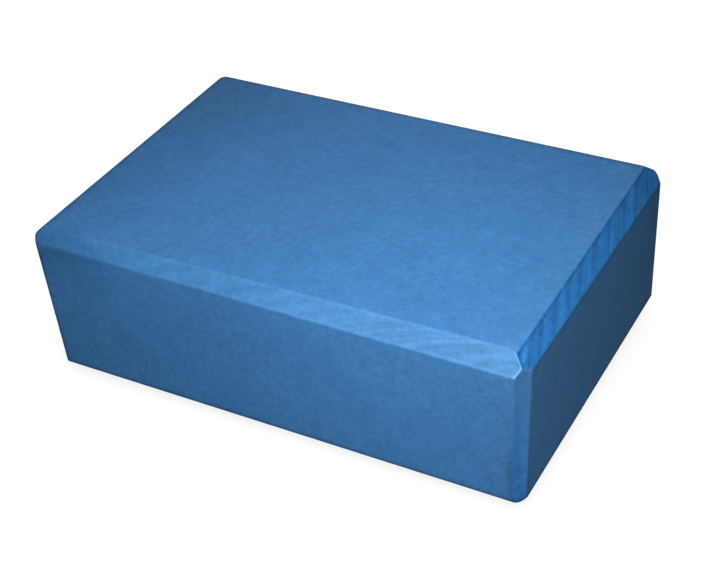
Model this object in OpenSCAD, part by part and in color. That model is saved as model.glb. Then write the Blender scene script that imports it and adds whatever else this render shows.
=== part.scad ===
// Foam yoga block: one solid piece of firm closed-cell foam, trimmed flat on six sides, with a
// bevel along all twelve edges. The origin is at the middle of the underside, +Z is up, the
// length lies along X, and the front face is at -Y.

/* [Block] */
// Length, from the left end face to the right end face
block_length = 228.6; // [150:0.2:320]
// Width, from the front face to the back face
block_width = 152.4; // [90:0.2:220]
// Height, from the underside to the top face
block_height = 76.2; // [45:0.2:120]

/* [Bevels] */
// Set-back of a bevel on both of its faces, measured from the sharp edge that it takes away
bevel = 6.4; // [4.5:0.1:8.5]
// Set-back of the bevel between the front and the top, at its left end
front_bevel_left = 5.7; // [4.5:0.1:8.5]
// Set-back of the same bevel at its right end, where it was trimmed wider
front_bevel_right = 7.6; // [4.5:0.1:8.5]
// Set-back of the upright bevel at the front right, which was trimmed lightly
front_right_upright = 4.8; // [4.5:0.1:8.5]

/* [Softening] */
// Radius of the soft edge on each side of a bevel
edge_radius = 1.3; // [0.3:0.1:2.5]
// Radius of the tip where three bevels meet, smaller where it would reach past a face
tip_radius = 3.6; // [1:0.1:5]

/* [Hidden] */

foam_blue = [0.27, 0.48, 0.72];
// Facets round a whole ball: a multiple of 8, so that a point of its mesh touches each plane
ball_facets = 32;

// A corner is named by the sides it is on: x = -1 left, 1 right; y = -1 front, 1 back;
// z = -1 underside, 1 top. Near it, a point is given by its depths below the x, y and z faces,
// and a plane is [k, w]: the points whose depths d satisfy k * d = w. On a bevel, the depths
// below its two faces add up to its set-back.
x_face = [[1, 0, 0], 0];
y_face = [[0, 1, 0], 0];
z_face = [[0, 0, 1], 0];

// The bevel along the length, between the y face and the z face
function long_bevel(x, y, z) =
    [[0, 1, 1], y > 0 || z < 0 ? bevel : x < 0 ? front_bevel_left : front_bevel_right];

// The bevel along the width, between the x face and the z face
cross_bevel = [[1, 0, 1], bevel];

// The bevel along the height, between the x face and the y face
function upright_bevel(x, y) = [[1, 1, 0], x > 0 && y < 0 ? front_right_upright : bevel];

// The depths of the point that lies the distance r inside each of the planes p, q and s
function inside(p, q, s, r) =
    let (w = [for (plane = [p, q, s]) plane[1] + r * norm(plane[0])],
         qs = cross(q[0], s[0]))
    (w[0] * qs + w[1] * cross(s[0], p[0]) + w[2] * cross(p[0], q[0])) / (p[0] * qs);

// The radius of the tip between bevels of the set-backs a, b and c, held inside the faces
function held_tip(a, b, c) =
    min(tip_radius, min(a + b - c, b + c - a, c + a - b) / (2 - sqrt(2)));

// The eighth of a ball that faces out of a corner on the +X, +Y and +Z sides
module ball_eighth(r) {
    step = 360 / ball_facets;
    arc = [for (k = [0:ball_facets / 4]) r * [sin(k * step), cos(k * step)]];
    rotate_extrude(angle = 90, $fn = ball_facets)
        polygon(concat([[0, 0]], arc));
}

// A ball of radius r that touches three planes of a corner from inside
module corner_ball(p, q, s, r) {
    translate(-inside(p, q, s, r))
        ball_eighth(r);
}

// The four balls of a corner: one where each face ends, and one in the tip of the three bevels.
// They are set out for the back top right corner and flipped over to the others.
module corner(x, y, z) {
    long = long_bevel(x, y, z);
    upright = upright_bevel(x, y);
    translate([x * block_length / 2, y * block_width / 2, z < 0 ? 0 : block_height])
        scale([x, y, z]) {
            corner_ball(z_face, long, cross_bevel, edge_radius);
            corner_ball(y_face, long, upright, edge_radius);
            corner_ball(x_face, cross_bevel, upright, edge_radius);
            corner_ball(long, cross_bevel, upright,
                        held_tip(long[1], cross_bevel[1], upright[1]));
        }
}

// The block is the skin stretched over the balls of its eight corners
module foam_block() {
    color(foam_blue)
        hull()
            for (x = [-1, 1], y = [-1, 1], z = [-1, 1])
                corner(x, y, z);
}

foam_block();
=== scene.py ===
# %% [markdown]
# # A foam yoga block
#
# A yoga block is one piece of firm closed-cell foam. It is sawn from a thick sheet, and a cutter
# then takes a narrow bevel off each of its twelve edges, so that it is kind to hands and feet.
# Nothing on it is joined or sewn, so all of its looks come from three things: how the bevels run,
# what the cutter and the use have left on the skin, and the fine grain of the foam.
#
# The imported CAD model is the frame that everything is measured from. It is loaded first, and its
# box is kept.

import math

import bpy
import numpy as np
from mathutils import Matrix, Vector


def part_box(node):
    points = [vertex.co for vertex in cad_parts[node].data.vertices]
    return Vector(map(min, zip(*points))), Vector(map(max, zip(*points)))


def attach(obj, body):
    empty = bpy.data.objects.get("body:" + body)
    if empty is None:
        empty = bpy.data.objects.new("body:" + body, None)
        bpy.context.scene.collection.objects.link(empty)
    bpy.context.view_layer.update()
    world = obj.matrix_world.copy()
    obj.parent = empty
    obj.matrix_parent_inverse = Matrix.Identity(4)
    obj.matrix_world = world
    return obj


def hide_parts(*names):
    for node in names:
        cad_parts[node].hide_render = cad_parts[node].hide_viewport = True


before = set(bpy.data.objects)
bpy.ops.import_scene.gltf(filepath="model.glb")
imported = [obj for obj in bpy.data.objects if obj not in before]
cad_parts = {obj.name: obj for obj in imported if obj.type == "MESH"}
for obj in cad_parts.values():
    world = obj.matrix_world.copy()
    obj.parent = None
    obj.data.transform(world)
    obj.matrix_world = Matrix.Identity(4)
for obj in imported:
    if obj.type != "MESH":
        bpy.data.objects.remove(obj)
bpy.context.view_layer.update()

# %% [markdown]
# ## The camera
#
# A camera is a place, three angles and a lens. This one stands to the right of the block, more
# than half a metre away, and looks down on it with a long lens, tilted a little to one side.
# There is no lens shift and no depth of field, so any other view can use the same lens.

# %% The camera
mm = 0.001

camera = bpy.data.objects.new("camera", bpy.data.cameras.new("camera"))
camera.data.sensor_width = 36
camera.data.lens = 73.61
camera.data.clip_start, camera.data.clip_end = 0.05, 20
camera.location = (275.15 * mm, -452.93 * mm, 414.92 * mm)
camera.rotation_euler = [math.radians(angle) for angle in (53.854, 3.600, 28.359)]
bpy.context.scene.collection.objects.link(camera)
bpy.context.scene.camera = camera
print("the camera stands", round(camera.location.length, 3), "m from the middle of the foot")

# %% [markdown]
# ## The lattice that becomes the skin
#
# The block could be made from a cube with Blender's Bevel modifier, but that gives every edge one
# even bevel, and a real block's bevels widen and twist a little. So the skin is worked out as a
# surface instead. It starts as the six sides of a plain box, each divided by a lattice of lines.
# The lines stand close together near the edges, where the narrow soft edges have to be smooth,
# and further apart where the sides are flat.

# %% The lines of the lattice
low, high = (np.array(corner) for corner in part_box("foam_block"))


def lattice_lines(start, end, edge=1.2 * mm, fine=9.3 * mm, wide=2.0 * mm):
    """Places of the lines between start and end: 3 steps over the first stretch called edge, then
    25 steps down to the depth called fine, then steps of about wide, and the same at the end."""
    depth = np.concatenate([np.linspace(0, edge, 4)[:-1], np.linspace(edge, fine, 26)])
    steps = round((end - start - 2 * fine) / wide)
    inner = np.linspace(start + fine, end - fine, steps + 1)
    return np.concatenate([start + depth[:-1], inner, (end - depth[:-1])[::-1]])


lines = [lattice_lines(low[axis], high[axis]) for axis in range(3)]
print("lattice lines along X, Y and Z:", [len(places) for places in lines])


# %% The box of six grids
def box_skin(lines):
    """Points and four-cornered faces of the box round the lattice. Each side is a grid of two
    line numbers, with the third held at its first or last line. Sides share the points of their
    common edges, because equal triples of line numbers are one point."""
    quads = []
    for axis in range(3):
        u, v = (axis + 1) % 3, (axis + 2) % 3
        i, j = np.meshgrid(range(len(lines[u])), range(len(lines[v])), indexing="ij")
        for outward, held in ((-1, 0), (1, len(lines[axis]) - 1)):
            number = np.zeros(i.shape + (3,), int)
            number[..., u], number[..., v], number[..., axis] = i, j, held
            ring = [number[:-1, :-1], number[1:, :-1], number[1:, 1:], number[:-1, 1:]]
            quads.append(np.stack(ring[::outward], axis=2).reshape(-1, 4, 3))
    triples, faces = np.unique(np.concatenate(quads).reshape(-1, 3), axis=0, return_inverse=True)
    points = np.stack([lines[axis][triples[:, axis]] for axis in range(3)], axis=1)
    return points, faces.reshape(-1, 4)


box_points, faces = box_skin(lines)
print("skin:", len(box_points), "points,", 2 * len(faces), "triangles")

# %% [markdown]
# ## The bevels
#
# Near an edge, a point has a depth below each of the edge's two faces. A bevel is the plane where
# depth / reach on one face plus depth / reach on the other makes 1, so its reach on a face is how
# deep it starts there. On a real block the cutter was held by eye: some bevels are wider at one
# end, and the upright one at the front right is twisted. So each reach is given at both ends.

# %% The reach of each bevel
# Key: the axis that the bevel runs along, and the sides that it is on along the next two axes.
# Value: its reach along the first of those axes, at its two ends, then along the second, in mm.
plain_reach = ((6.4, 6.4), (6.4, 6.4))
reaches = {
    (0, -1, 1): ((3.9, 8.2), (6.7, 6.8)),     # front and top: widens on the top to the right
    (0, 1, 1): ((6.3, 7.3), (6.2, 5.8)),      # back and top
    (0, -1, -1): ((6.5, 6.7), (5.8, 7.3)),    # front and underside
    (1, 1, 1): ((7.1, 8.6), (5.45, 6.3)),     # top and right end
    (1, 1, -1): ((6.5, 6.4), (7.1, 6.4)),     # top and left end
    (1, -1, 1): ((8.4, 8.4), (6.4, 6.4)),     # underside and right end
    (2, 1, -1): ((5.4, 3.9), (1.9, 8.0)),     # right end and front: twisted
    (2, -1, -1): ((7.9, 4.1), (7.3, 6.1)),    # left end and front
    (2, 1, 1): ((6.1, 3.5), (6.8, 3.7)),      # right end and back
}
bevels = [(axis, b, c) for axis in range(3) for b in (-1, 1) for c in (-1, 1)]


# %% How far a point is outside the block
def depth_below(points, axis, side):
    """Distance below the face on that side of the box, along the axis."""
    return high[axis] - points[:, axis] if side > 0 else points[:, axis] - low[axis]


def beyond_bevel(points, bevel):
    """Distance beyond the plane of a bevel: 1 less depth / reach on both faces, over the length
    of that sum's slope. The reaches change evenly from one end of the bevel to the other."""
    axis, side_b, side_c = bevel
    b, c = (axis + 1) % 3, (axis + 2) % 3
    along = depth_below(points, axis, -1) / (high[axis] - low[axis])
    reach_b, reach_c = (
        (start + (end - start) * along) * mm for start, end in reaches.get(bevel, plain_reach)
    )
    depth_b, depth_c = depth_below(points, b, side_b), depth_below(points, c, side_c)
    return (1 - depth_b / reach_b - depth_c / reach_c) / np.hypot(1 / reach_b, 1 / reach_c)


print(len(reaches), "of", len(bevels), "bevels have reaches of their own")


def corner_depth(points):
    """The sum of a point's depths below the nearest faces along X, Y and Z."""
    return (np.minimum(points - low, high - points)).sum(axis=1)


# %% [markdown]
# ## Soft edges
#
# The outside of the block is the largest of the distances beyond its faces and bevels. A plain
# maximum gives knife edges. Easing it by a parabola, where two of the distances are nearly the
# same, rounds each edge as a fillet of a known width does, and leaves the flats alone. Between
# two bevels the cutter swept round the corner, so most of them are eased more. Each corner was
# turned by hand too, so it has four eases of its own: one at its tip, where three bevels meet,
# and one at each of its faces, where two bevels meet and round the corner of that face.

# %% How soft the edges are
arris_ease = 0.38 * mm    # as wide as a fillet of 1.3 mm between a face and a bevel

# Key: the sides that a corner is on along X, Y and Z. Value: how much the bevels are eased among
# themselves, in mm, at the corner's tip and where they reach its X, its Y and its Z face.
plain_corner = (2.4, 2.5, 2.5, 2.5)
corner_eases = {
    (1, -1, 1): (0.4, 0.6, 0.6, 7.0),     # front right at the top: only the top is rounded
    (1, 1, 1): (2.2, 0.8, 0.8, 1.5),      # back right at the top
    (-1, -1, 1): (1.8, 0.5, 0.5, 0.5),    # front left at the top
    (1, -1, -1): (3.0, 2.1, 2.1, 2.1),    # front right at the foot
    (-1, -1, -1): (2.7, 0.6, 0.6, 0.6),   # front left at the foot
    (1, 1, -1): (2.4, 0.3, 0.3, 0.3),     # back right at the foot
}


def corner_ease(points):
    """The ease between bevels near each point. From a corner's tip to a face, the corner depth
    grows from about 10 to 13 mm, and the ease changes with it to that of the nearest face. The
    three faces are weighed by e to the power of minus their depth in mm."""
    sides = np.sign(points - (low + high) / 2)
    eases = np.tile(plain_corner, (len(points), 1))
    for corner, values in corner_eases.items():
        eases[(sides == corner).all(axis=1)] = values
    weight = np.exp(-np.minimum(points - low, high - points) / mm)
    at_face = (eases[:, 1:] * weight).sum(axis=1) / weight.sum(axis=1)
    toward_face = np.clip((corner_depth(points) - 10 * mm) / (3 * mm), 0, 1)
    return (eases[:, 0] + (at_face - eases[:, 0]) * toward_face) * mm


# %% The rounded outside
def eased_max(p, q, ease):
    """The larger of p and q, plus a parabola that is ease / 4 high where they are equal and
    nothing where they differ by ease or more."""
    near = np.maximum(1 - np.abs(p - q) / ease, 0)
    return np.maximum(p, q) + near**2 * ease / 4


def beyond_block(points):
    """Distance of each point beyond the rounded block: the eased maximum over the twelve bevels,
    and then of that and the six faces."""
    ease = corner_ease(points)
    beyond = beyond_bevel(points, bevels[0])
    for bevel in bevels[1:]:
        beyond = eased_max(beyond, beyond_bevel(points, bevel), ease)
    faces_beyond = np.maximum(low - points, points - high).max(axis=1)
    return eased_max(faces_beyond, beyond, arris_ease)


# %% The skin drawn in to the block
def drawn_in(points, core_depth=10 * mm):
    """Each point moved to the rounded block, on the straight line from the nearest point of a
    core box that lies core_depth inside. The crossing is found by halving, 30 times over."""
    core = np.clip(points, low + core_depth, high - core_depth)
    inside, outside = np.zeros(len(points)), np.ones(len(points))
    for _ in range(30):
        trial = (inside + outside) / 2
        is_out = beyond_block(core + (points - core) * trial[:, None]) > 0
        inside, outside = np.where(is_out, inside, trial), np.where(is_out, trial, outside)
    return core + (points - core) * inside[:, None]


skin = drawn_in(box_points)
print("box of the skin in mm:", ((skin.max(0) - skin.min(0)) / mm).round(2))

# %% [markdown]
# ## What the cutter has left
#
# A rotating cutter leaves a mark at each turn while the block moves past it. The marks cross a
# bevel on the slant, in slow arcs, about a finger's width apart, with finer streaks between them.
# Where a bevel was rubbed since, a mark stands out as a low light ridge, and elsewhere as a
# shallow dark groove. They are less than a tenth of a millimetre deep, but as they are part of
# the shape, they go into the mesh. The finish gets their pattern as an attribute, and with it
# lightens the ridges and darkens the grooves: partly the foam's own colour, and partly a painted
# highlight and shade, which so shallow a relief hardly gives.

# %% Where a point is on a bevel
def bevel_frame(points, bevel):
    """A point's place along a bevel from its low end, and across it from the middle, in metres."""
    axis, side_b, side_c = bevel
    b, c = (axis + 1) % 3, (axis + 2) % 3
    across = (depth_below(points, c, side_c) - depth_below(points, b, side_b)) / math.sqrt(2)
    return depth_below(points, axis, -1), across


faces_beyond = np.maximum(low - skin, skin - high).max(axis=1)
each_beyond = np.array([beyond_bevel(skin, bevel) for bevel in bevels])
bevels_beyond = each_beyond.max(axis=0)
next_beyond = np.partition(each_beyond, -2, axis=0)[-2]

# %% Marks across a bevel
mark_width = 1.1 * mm
mark_pitch = 15 * mm
mark_stray = 2.5    # how far a mark may lie from its even place, in mm
least_flare = 0.4   # a wedge's narrow end, as a share of mark_width


def sweep_place(points, bevel, slant, bow):
    """How far a point is along the bevel, measured square to the cutter's marks: its place along,
    less that of the mark's line at the same place across, times the sine of the slant. The line
    leans by the slant, in degrees, and is bowed by that much for each metre across, squared."""
    along, across = bevel_frame(points, bevel)
    line = across / math.tan(math.radians(slant)) + bow * across**2
    return (along - line) * abs(math.sin(math.radians(slant)))


def cutter_marks(sweep, across, centres, slant, flare):
    """1 on the middle line of each mark, falling as a bell curve over mark_width, which the flare
    widens by that share for each 5 mm across, into a wedge. The centres are in mm along the
    middle of the bevel."""
    squared_to = np.array(centres) * mm * abs(math.sin(math.radians(slant)))
    width = mark_width * np.maximum(1 + flare * across / (5 * mm), least_flare)
    return np.exp(-((sweep[:, None] - squared_to) / width[:, None]) ** 2).max(axis=1)


def even_centres(bevel, seed):
    """Centres of marks one pitch apart along a bevel, each moved a little, in mm."""
    length = high[bevel[0]] - low[bevel[0]]
    numbers = np.random.default_rng(seed)
    centres = np.arange(0.4 * mark_pitch, length, mark_pitch)
    return (centres + numbers.uniform(-mark_stray, mark_stray, len(centres)) * mm) / mm


# %% How each bevel was cut and rubbed
# Key: a bevel. Value: how rubbed it is at its low and high end, how strong its marks are, their
# slant in degrees, their bow, their flare and, where they aren't even, their centres in mm. A
# negative strength makes grooves.
cut_and_rubbed = {
    (0, -1, 1): ((0.50, 0.95), 0.9, -19, 150, 0.0,
                 [26, 45, 61, 80, 97, 118, 137, 154, 171, 190, 212]),
    (1, 1, 1): ((0.00, 0.00), -1.4, 29, 40, 0.7,
                [4, 13, 23, 37.5, 51, 62.5, 78, 94.5, 112, 127, 141]),
    (2, 1, -1): ((0.05, 0.80), -0.3, 35, 20, 0.0, None),
}
plain_cut = ((0.32, 0.32), -1.0, 28, 20, 0.0, None)

# %% Which bevel a point belongs to
# At the front right corner, the bevel of the right end was cut last and wraps round the corner of
# the top, so just there it counts as if it stood out by the wrap, which falls with the depth.
wrap_at_top, wrap_fall, least_wrap = 1.2 * mm, 0.4, -0.3 * mm

front_bevel, end_bevel = bevels.index((0, -1, 1)), bevels.index((1, 1, 1))
front_right = (skin[:, 0] > 0) & (skin[:, 1] < 0)
wrap = front_right * np.clip(wrap_at_top - wrap_fall * depth_below(skin, 2, 1), least_wrap, None)
felt_beyond = each_beyond.copy()
felt_beyond[end_bevel] += wrap
felt_order = np.partition(felt_beyond, -2, axis=0)

# A bevel's share of a point falls exponentially with how far it lies below the first bevel there,
# over the seam_blend, so two bevels blend into each other along their seam.
seam_blend = 0.12 * mm
share = np.exp((felt_beyond - felt_order[-1]) / seam_blend)
share /= share.sum(axis=0)
print("points shared by two bevels:", int((share.max(axis=0) < 0.9).sum()))

# %% The marks of all the bevels
flank = 0.5 * mm     # a mark grows from nothing to its full strength over this, from an edge
noise_step = 0.3     # in metres: keeps the streaks of two bevels apart in the noise

rubbed, mark, sweep, streaked = np.zeros((4, len(skin)))
for number, bevel in enumerate(bevels):
    (start, end), strength, slant, bow, flare, centres = cut_and_rubbed.get(bevel, plain_cut)
    along = depth_below(skin, bevel[0], -1) / (high - low)[bevel[0]]
    rubbed += share[number] * (start + (end - start) * along)
    here = (each_beyond[number] == bevels_beyond) & (bevels_beyond > faces_beyond)
    rest = np.maximum(faces_beyond, next_beyond)[here]
    on_flat = np.clip((bevels_beyond[here] - rest) / flank, 0, 1)
    sweep[here] = sweep_place(skin[here], bevel, slant, bow)
    centres = centres or even_centres(bevel, number)
    across = bevel_frame(skin[here], bevel)[1]
    mark[here] = on_flat * cutter_marks(sweep[here], across, centres, slant, flare) * strength
    streaked[here] = on_flat
    sweep[here] += noise_step * number

# Half-rubbed foam hides most of what the cutter left. Fresh or well rubbed foam shows all of it.
least_mark, least_streak = 0.30, 0.15
shows = np.abs(2 * rubbed - 1)
mark *= least_mark + (1 - least_mark) * shows
streaked *= least_streak + (1 - least_streak) * shows
print("on bevels:", round(100 * (bevels_beyond > faces_beyond).mean()), "% of the points")

# %% [markdown]
# ## Wear
#
# Foam shows its use at the edges first. A fresh edge has a dark line, where the cutter crushed
# the cells, and a rubbed one is pale. Both could be painted on an image, but masks that are
# worked out from the shape keep their place when a size changes, and need no image. Each mask is
# one number for each point, made from how far the point is from the edges of its bevel. The pale
# edges are partly a painted highlight, and the front right corner has a painted shade as well.

# %% Where the foam is cut
# How far a point's face stands out beyond its bevel: more than 0 on a face, less on a bevel.
face_beyond = faces_beyond - bevels_beyond
cut_rim, cut_fade, face_fade = 0.3 * mm, 0.4 * mm, 0.5 * mm

cut = np.clip((cut_rim - face_beyond) / cut_fade, 0, 1)
off_faces = np.clip(0.5 - face_beyond / face_fade, 0, 1)
print("cut foam:", round(100 * cut.mean()), "% of the points")

# %% How the edges of a bevel are worn, with a painted highlight
# A rubbed bevel has lighter edges: pale wear, and a painted highlight along the rounded edge. A
# fresh one has a darker line inside its edge at the top, and just beyond its other edge, where the
# cutter has crushed the face. A tip is worn as its bevels are, only more.
edge_width = 0.9 * mm
top_depth = 3 * mm
inside_edge, outside_edge = 0.35 * mm, -0.45 * mm
tip_start, tip_fade = 10.5 * mm, 2.5 * mm
edge_wear_and_highlight, edge_darkening, tip_wear = 0.35, 0.55, 0.16

on_top = depth_below(skin, 2, 1) < top_depth
line_place = np.where((rubbed > 0.5) | on_top, inside_edge, outside_edge)
edge_line = np.clip(1 - np.abs(face_beyond + line_place) / edge_width, 0, 1)
tip = np.clip((tip_start - corner_depth(skin)) / tip_fade, 0, 1)
wear_and_painted_light = edge_line * np.maximum(rubbed - 0.5, 0) * edge_wear_and_highlight + tip * (rubbed - 0.5) * tip_wear
dark_line = edge_line * np.maximum(0.5 - rubbed, 0) * edge_darkening

# %% How the front right corner is worn, with a painted highlight and painted shade
# Where a well rubbed bevel meets another, its rim is lightest: pale wear, and a painted highlight.
# The wrap round the corner of the top faces the front as the rubbed bevel does, so the lamp lights
# it as brightly, and painted shade darkens it to the level of the end bevel beside it.
rim_wear_and_highlight, painted_wrap_shade = 1.05, 0.53
well_rubbed, rubbed_fade = 0.75, 0.15
wrap_width = 2.0 * mm

seam = np.clip(1 - (felt_order[-1] - felt_order[-2]) / edge_width, 0, 1)
rim = off_faces * seam * np.clip((rubbed - well_rubbed) / rubbed_fade, 0, 1)
to_front = 1 + (each_beyond[front_bevel] - each_beyond[end_bevel]) / wrap_width
wrapped = off_faces * front_right * share[end_bevel] * np.clip(to_front, 0, 1)
wear_and_painted_light += rim * rim_wear_and_highlight
wear_and_painted_light -= np.maximum(dark_line, wrapped * painted_wrap_shade)

# %% The grime beside the plain bevels
# The skin of the faces is darker there: most at the edge, and nothing where the face stands out
# beyond the bevel by the grime_width. It fades faster on the bevel. It stands for a dark line in
# the picture, which may be grime or only the camera's sharpening.
grime_width, grime_fade, grime_shade = 1.7 * mm, 0.6 * mm, 0.36

plain = sum(share[number] for number, bevel in enumerate(bevels) if bevel not in cut_and_rubbed)
grime = np.clip(1 - face_beyond / grime_width, 0, 1) * np.clip(1 + face_beyond / grime_fade, 0, 1)
wear_and_painted_light -= plain * grime * grime_shade
print("wear, from darkest to lightest:", wear_and_painted_light.min().round(2), "to", wear_and_painted_light.max().round(2))

# %% [markdown]
# ## The mesh
#
# The points go into a mesh in one call. The skin's outward direction at each point comes from
# the mesh itself, and each mark is raised or pressed in along it. The bevels lie well inside the
# block's box, so the block keeps its size. A mesh attribute carries each mask to the material.

# %% The foam block
mark_height = 0.06 * mm


def new_mesh(name, points, faces):
    """A smooth mesh object that has these points and faces, in the scene."""
    mesh = bpy.data.meshes.new(name)
    mesh.from_pydata(points, [], faces)
    mesh.shade_smooth()
    piece = bpy.data.objects.new(name, mesh)
    bpy.context.scene.collection.objects.link(piece)
    return piece


def point_normals(mesh):
    """The outward direction at every point of a mesh, as an array of rows."""
    normals = np.empty(len(mesh.vertices) * 3, np.float32)
    mesh.vertex_normals.foreach_get("vector", normals)
    return normals.reshape(-1, 3)


block = new_mesh("foam_skin", skin, faces)
marked = skin + point_normals(block.data) * (mark * mark_height)[:, None]
block.data.vertices.foreach_set("co", marked.astype(np.float32).ravel())
block.data.update()
masks = {"cut": cut, "rubbed": rubbed, "mark": mark, "streaked": streaked, "sweep": sweep,
         "wear_and_painted_light": wear_and_painted_light}
for name, values in masks.items():
    layer = block.data.attributes.new(name, "FLOAT", "POINT")
    layer.data.foreach_set("value", values.astype(np.float32))

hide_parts("foam_block")
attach(block, "root")
print("the marks move points by up to", (np.abs(mark).max() * mark_height / mm).round(3), "mm")

# %% [markdown]
# ## Writing a finish as sums
#
# A material is a tree of nodes. Most of them are plain sums, which read best as sums, so a small
# class wraps an output socket and lets Python's signs build the Math nodes. Any other node comes
# from one method: it takes the node's type, its settings, and what goes into its sockets.

# %% The helper for finishes
class Wire:
    """The output socket of a node. Signs between wires and numbers add Math nodes."""

    def __init__(self, finish, socket):
        self.finish, self.socket = finish, socket

    def sum_with(self, operation, *terms):
        return self.finish.node("ShaderNodeMath", {"operation": operation}, list(terms))

    def __add__(self, other): return self.sum_with("ADD", self, other)
    def __radd__(self, other): return self.sum_with("ADD", other, self)
    def __sub__(self, other): return self.sum_with("SUBTRACT", self, other)
    def __rsub__(self, other): return self.sum_with("SUBTRACT", other, self)
    def __mul__(self, other): return self.sum_with("MULTIPLY", self, other)
    def __rmul__(self, other): return self.sum_with("MULTIPLY", other, self)
    def larger(self, other): return self.sum_with("MAXIMUM", self, other)


class Finish:
    """The nodes of a material or a world under construction."""

    def __init__(self, owner):
        self.owner = owner
        owner.use_nodes = True
        self.tree = owner.node_tree
        self.tree.nodes.clear()

    def node(self, kind, settings=None, sockets=(), output=0):
        """Adds a node of that kind, gives it its settings, then fills its sockets: a list goes in
        order, a dict by their names or numbers. A Wire is linked, and anything else is a value."""
        node = self.tree.nodes.new(kind)
        for setting, value in (settings or {}).items():
            setattr(node, setting, value)
        pairs = sockets.items() if isinstance(sockets, dict) else enumerate(sockets)
        for key, value in pairs:
            socket = node.inputs[key]
            if isinstance(value, Wire):
                self.tree.links.new(value.socket, socket)
            else:
                socket.default_value = value
        return Wire(self, node.outputs[output]) if len(node.outputs) else node

    def mix(self, amount, first, second):
        """The first colour where amount is 0, the second where it is 1."""
        sockets = {0: amount, 6: first, 7: second}
        return self.node("ShaderNodeMix", {"data_type": "RGBA"}, sockets, 2)

    def noise(self, place, size, detail=2.0, roughness=0.5):
        """Soft noise from 0 to 1 with lumps about as wide as size, in metres."""
        return self.node("ShaderNodeTexNoise", {"noise_dimensions": "3D"}, {
            "Vector": place, "Scale": 0.5 / size, "Detail": detail, "Roughness": roughness})

    def streaks(self, sweep, size, detail=2.0, roughness=0.6):
        """Noise from 0 to 1 that changes along one distance only, in metres."""
        return self.node("ShaderNodeTexNoise", {"noise_dimensions": "1D"}, {
            "W": sweep, "Scale": 0.5 / size, "Detail": detail, "Roughness": roughness})


# %% [markdown]
# ## The foam
#
# Sawn foam is neither shiny nor quite dull. It has a fine grain of cut cells, each about half a
# millimetre wide, that breaks up the light, and a slow unevenness of colour. The bevels were cut
# last, so they show the deeper blue of the inside, until rubbing turns them a little chalky. The
# right end is a little greyer. That was matched to the picture and is taken as dust, but it may
# be the picture's light.

# %% The foam's colours
foam = Finish(bpy.data.materials.new("foam"))
place = foam.node("ShaderNodeTexCoord", output=3)


def mask(name):
    """A mask that the mesh carries, as a wire."""
    return foam.node("ShaderNodeAttribute", {"attribute_name": name}, output=2)


def soft_oval(centre, half_sizes, turn):
    """1 at the centre, falling evenly to 0 at the rim of an oval of those half sizes, in mm, that
    is turned about Z by that many degrees. A Mapping node moves, turns and scales the place so
    that the oval becomes a ball of radius 1."""
    unit_ball = foam.node("ShaderNodeMapping", {"vector_type": "TEXTURE"}, {
        "Vector": place, "Location": [size * mm for size in centre],
        "Rotation": (0, 0, math.radians(turn)), "Scale": [size * mm for size in half_sizes]})
    radius = foam.node("ShaderNodeVectorMath", {"operation": "LENGTH"}, {0: unit_ball}, 1)
    return foam.node("ShaderNodeMath", {"operation": "SUBTRACT", "use_clamp": True}, [1, radius])


skin_blue = (0.053, 0.190, 0.437, 1)
greyer_blue = (0.0585, 0.190, 0.407, 1)
deep_blue = (0.029, 0.178, 0.486, 1)
chalky_blue = (0.069, 0.201, 0.396, 1)

# The skin turns a greyer blue towards the right end.
greyer_end = soft_oval((134, 0, 38), (40, 300, 300), 0) * 2
outside_blue = foam.mix(greyer_end, skin_blue, greyer_blue)
inside_blue = foam.mix(mask("rubbed"), deep_blue, chalky_blue)
blue = foam.mix(mask("cut"), outside_blue, inside_blue)

# %% The grain
# Four sizes of noise, each with how much it darkens or lightens the shade. The open cells say how
# strong the finest one is: most near the front right of the top, and least over its middle.
grain_depth, speckle_depth, patch_depth, cloud_depth = 0.36, 0.37, 0.24, 0.12

open_cells = 0.80 + soft_oval((75, -62, 76), (95, 60, 30), 0) * 0.50
open_cells = open_cells - soft_oval((-30, 20, 76), (150, 90, 20), 0) * 0.35
grain = foam.noise(place, 0.50 * mm, detail=2, roughness=0.6)
speckle = foam.noise(place, 1.4 * mm, detail=1, roughness=0.5)
patch = foam.noise(place, 5 * mm, detail=2, roughness=0.5)
cloud = foam.noise(place, 35 * mm, detail=3, roughness=0.55)
shade = 1 + (grain - 0.5) * open_cells * grain_depth + (speckle - 0.5) * speckle_depth
shade = shade + (patch - 0.5) * patch_depth + (cloud - 0.5) * cloud_depth

# %% Marks of the cutter and of rubbing, with their painted highlight and shade
mark_highlight_and_shade, streak_depth = 0.17, 0.36

streak = foam.streaks(mask("sweep"), 1.0 * mm) + foam.streaks(mask("sweep"), 3.0 * mm) - 1
# The marks lighten ridges and darken grooves: partly painted highlight and shade.
shade = shade + mask("mark") * mark_highlight_and_shade + mask("streaked") * streak * streak_depth
# Wear along the edges, with its painted highlights and painted shade.
shade = shade + mask("wear_and_painted_light")
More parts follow.
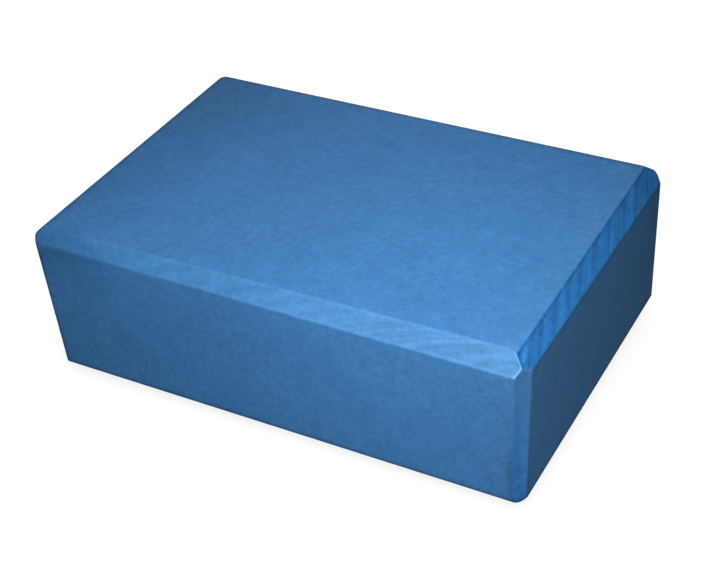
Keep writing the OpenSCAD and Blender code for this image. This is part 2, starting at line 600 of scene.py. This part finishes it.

# %% [markdown]
# ## Marks of use, and painted light
#
# Hands and mats leave faint smudges on the faces, and a knock leaves a small light nick. Each is
# a soft oval that darkens or lightens the shade. The wide ovals are painted shade, which darkens
# whole ends and corners, and painted light, which lightens the middle of the top. Their strengths
# were set by comparing regions of a render with the picture.

# %% Smudges, nicks, and painted shade and light
# Centre and half sizes in mm, turn about Z in degrees, and strength: less than 0 darkens, and
# more lightens. The small ones are smudges and nicks, and come first. The wide ones after them
# are painted shade and light.
marks_and_painted_light = [
    ((-83, 13, 76), (13, 3.0, 4), -3, -0.05),
    ((-75, -6.5, 76), (9, 3.0, 4), 5, -0.04),
    ((-83, 36, 76), (7, 5.0, 4), -30, -0.05),
    ((50, -38.5, 76), (6, 5.0, 4), -40, -0.06),
    ((-7, -9, 76), (13, 1.0, 2), -36, -0.05),
    ((79, -24, 76), (1.2, 1.2, 2), 0, 0.12),
    ((-45, -0.5, 76), (1.6, 1.6, 2), 0, 0.10),
    ((-30, -76, 40), (1.2, 2, 1.2), 0, 0.12),
    ((41, -76, 58), (1.4, 2, 1.0), 0, 0.10),
    ((-70, -76, 30), (14, 4, 6), 0, -0.05),
    ((114, 20, 40), (4, 14, 5), 0, -0.06),
    ((30, 76, 35), (12, 4, 7), 0, -0.06),
    ((-114, -12, 44), (4, 9, 6), 0, -0.06),
    ((20, -20, 0), (16, 4.0, 4), 25, -0.06),
    # From here on: painted shade on ends, corners and the back of the top, then painted light on
    # its middle.
    ((-122, 0, 76), (62, 130, 30), 0, -0.20),
    ((-112, -78, 66), (50, 12, 26), 0, -0.18),
    ((106, -78, 44), (36, 6, 50), 0, -0.15),
    ((112, 74, 70), (12, 26, 22), 0, -0.12),
    ((116, 84, 36), (8, 60, 70), 0, -0.20),
    ((112, -75, 8), (7, 7, 50), 0, -0.18),
    ((-95, 65, 76), (55, 55, 30), 0, -0.12),
    ((90, 72, 76), (60, 50, 30), 0, -0.08),
    ((40, -15, 76), (75, 60, 30), 0, 0.05),
]
for centre, half_sizes, turn, strength in marks_and_painted_light:
    shade = shade + soft_oval(centre, half_sizes, turn) * strength

# %% The foam's shader
dullness, dullness_depth = 0.70, 0.12
bump_distance = 0.12 * mm

colour = foam.node("ShaderNodeVectorMath", {"operation": "SCALE"}, {0: blue, 3: shade})
height = grain * 0.6 + speckle * 0.4
bump = foam.node("ShaderNodeBump", {}, {
    "Strength": 0.3, "Distance": bump_distance, "Height": height})
surface = foam.node("ShaderNodeBsdfPrincipled", {}, {
    "Base Color": colour, "Roughness": dullness + (speckle - 0.5) * dullness_depth,
    "Specular IOR Level": 0.03, "Normal": bump})
foam.node("ShaderNodeOutputMaterial", {}, {"Surface": surface})
block.data.materials.append(foam.owner)
print("nodes of the foam:", len(foam.tree.nodes))

# %% [markdown]
# ## The studio
#
# The block stands on a plain pale floor. A soft lamp in front of its right end gives the front
# bevel its light and only grazes that end, and a second one above the block lights the top. A
# third, low behind the block, keeps its back from going dark. The world is white where the
# camera sees it, and faint as a light, so it doesn't wash out the blue.

# %% Rays that see the backdrop
def sees_backdrop(finish):
    """1 for the camera's rays and for reflected and refracted ones, 0 for the rest."""
    camera_ray, glossy_ray, transmission_ray = (
        finish.node("ShaderNodeLightPath", output=output) for output in (0, 3, 6))
    return camera_ray.larger(glossy_ray).larger(transmission_ray)


# %% The floor
half_floor = 3.0
floor_gap = 0.1 * mm
contact_reach = 25 * mm                 # how near the block the floor is shaded by it
paper_grey = (0.15, 0.15, 0.15, 1)      # dark, so that it doesn't light the block from below
shaded_glow, open_glow = 0.80, 0.17     # its white where it is shaded, and what is added beyond

corners = half_floor * np.array([(-1, -1, 0), (1, -1, 0), (1, 1, 0), (-1, 1, 0)])
floor = new_mesh("floor", corners - (0, 0, floor_gap), [(0, 1, 2, 3)])
paper = Finish(bpy.data.materials.new("paper"))
openness = paper.node("ShaderNodeAmbientOcclusion", {"samples": 8}, {"Distance": contact_reach}, 1)
bounce = paper.node("ShaderNodeBsdfDiffuse", {}, {"Color": paper_grey})
white = sees_backdrop(paper) * (shaded_glow + openness * open_glow)
glow = paper.node("ShaderNodeEmission", {}, {"Color": (1, 1, 1, 1), "Strength": white})
both = paper.node("ShaderNodeAddShader", {}, [bounce, glow])
paper.node("ShaderNodeOutputMaterial", {}, {"Surface": both})
floor.data.materials.append(paper.owner)

# %% The lamps
# A lamp is a name, a place and a size in metres, and a power in watts.
block_middle = Vector((0, 0, 0.04))


def soft_lamp(name, place, size, power):
    """A square lamp of that size, in metres, turned towards the block, of that power in watts."""
    lamp = bpy.data.objects.new(name, bpy.data.lights.new(name, "AREA"))
    lamp.data.size, lamp.data.energy = size, power
    lamp.location = place
    lamp.rotation_euler = (block_middle - lamp.location).to_track_quat("-Z", "Y").to_euler()
    lamp.visible_camera = False
    bpy.context.scene.collection.objects.link(lamp)
    print(name, "is", round((block_middle - lamp.location).length, 2), "m from the block")


soft_lamp("front_lamp", (0.140, -0.250, 0.274), 0.25, 1.36)
soft_lamp("top_lamp", (0.090, -0.029, 0.380), 0.30, 0.409)
soft_lamp("back_lamp", (-0.68, 1.12, 0.12), 0.20, 8.5)

# %% The world
ambient = 0.10

studio = Finish(bpy.data.worlds.new("studio"))
strength = ambient + sees_backdrop(studio) * (1 - ambient)
sky = studio.node("ShaderNodeBackground", {}, {"Color": (1, 1, 1, 1), "Strength": strength})
studio.node("ShaderNodeOutputWorld", {}, {"Surface": sky})
bpy.context.scene.world = studio.owner

# %% The way colours are shown
bpy.context.scene.view_settings.view_transform = "Standard"
